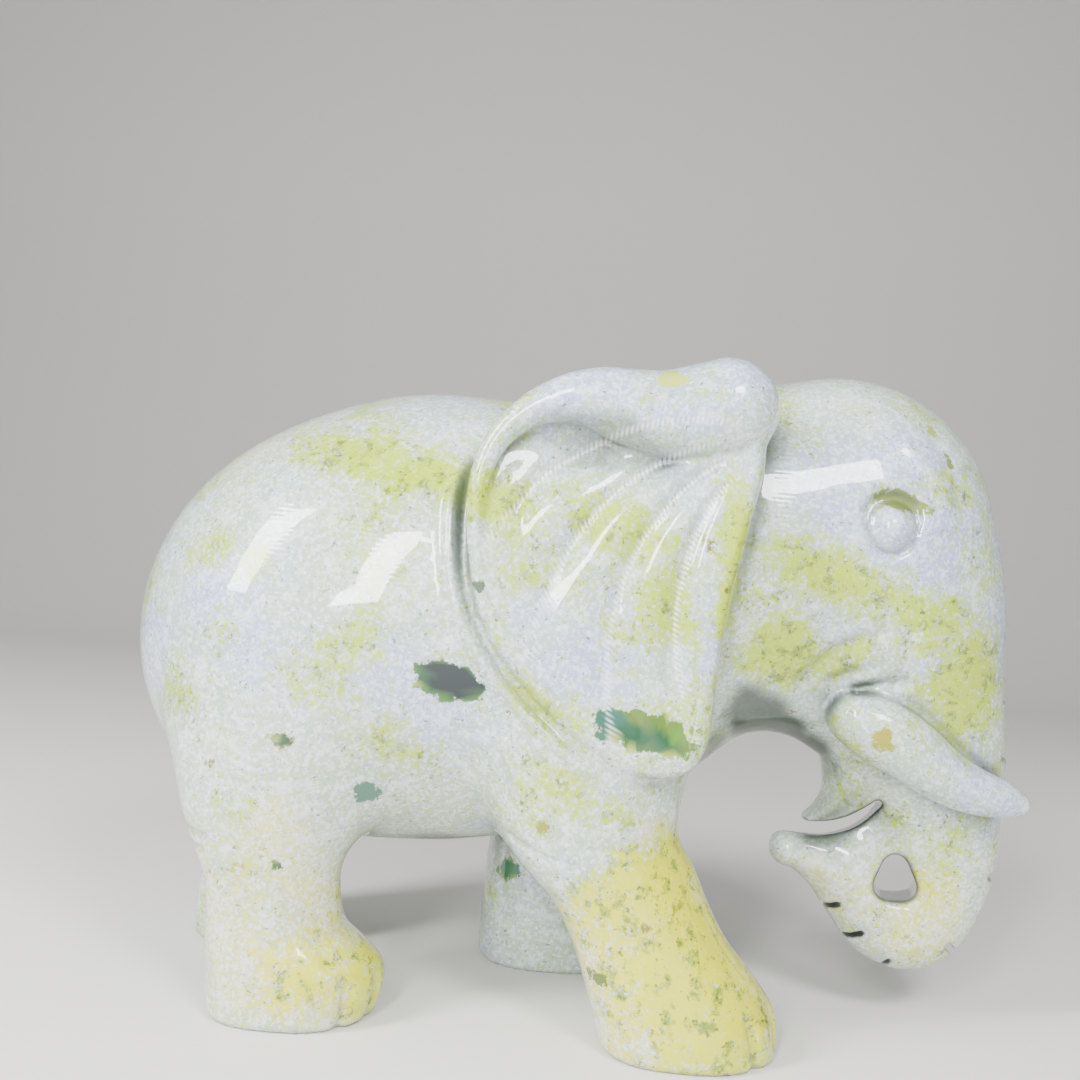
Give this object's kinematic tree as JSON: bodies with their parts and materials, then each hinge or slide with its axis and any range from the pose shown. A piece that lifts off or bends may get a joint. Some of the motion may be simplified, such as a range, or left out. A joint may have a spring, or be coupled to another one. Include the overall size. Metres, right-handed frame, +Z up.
{
  "type": "carved stone elephant figurine",
  "caption": "Standing elephant carved from one block of polished jade, with fluted ears, forward tusks and a trunk curled back under the jaw.",
  "frame": {"origin": "on the ground under the middle of the object's box", "axes": "+X towards the head and trunk, +Z up, -Y towards the elephant's right side"},
  "size_m": [0.275, 0.1232, 0.1986],
  "materials": {
    "jade": "polished"
  },
  "bodies": {
    "root": {"elephant": "jade"}
  },
  "joints": []
}
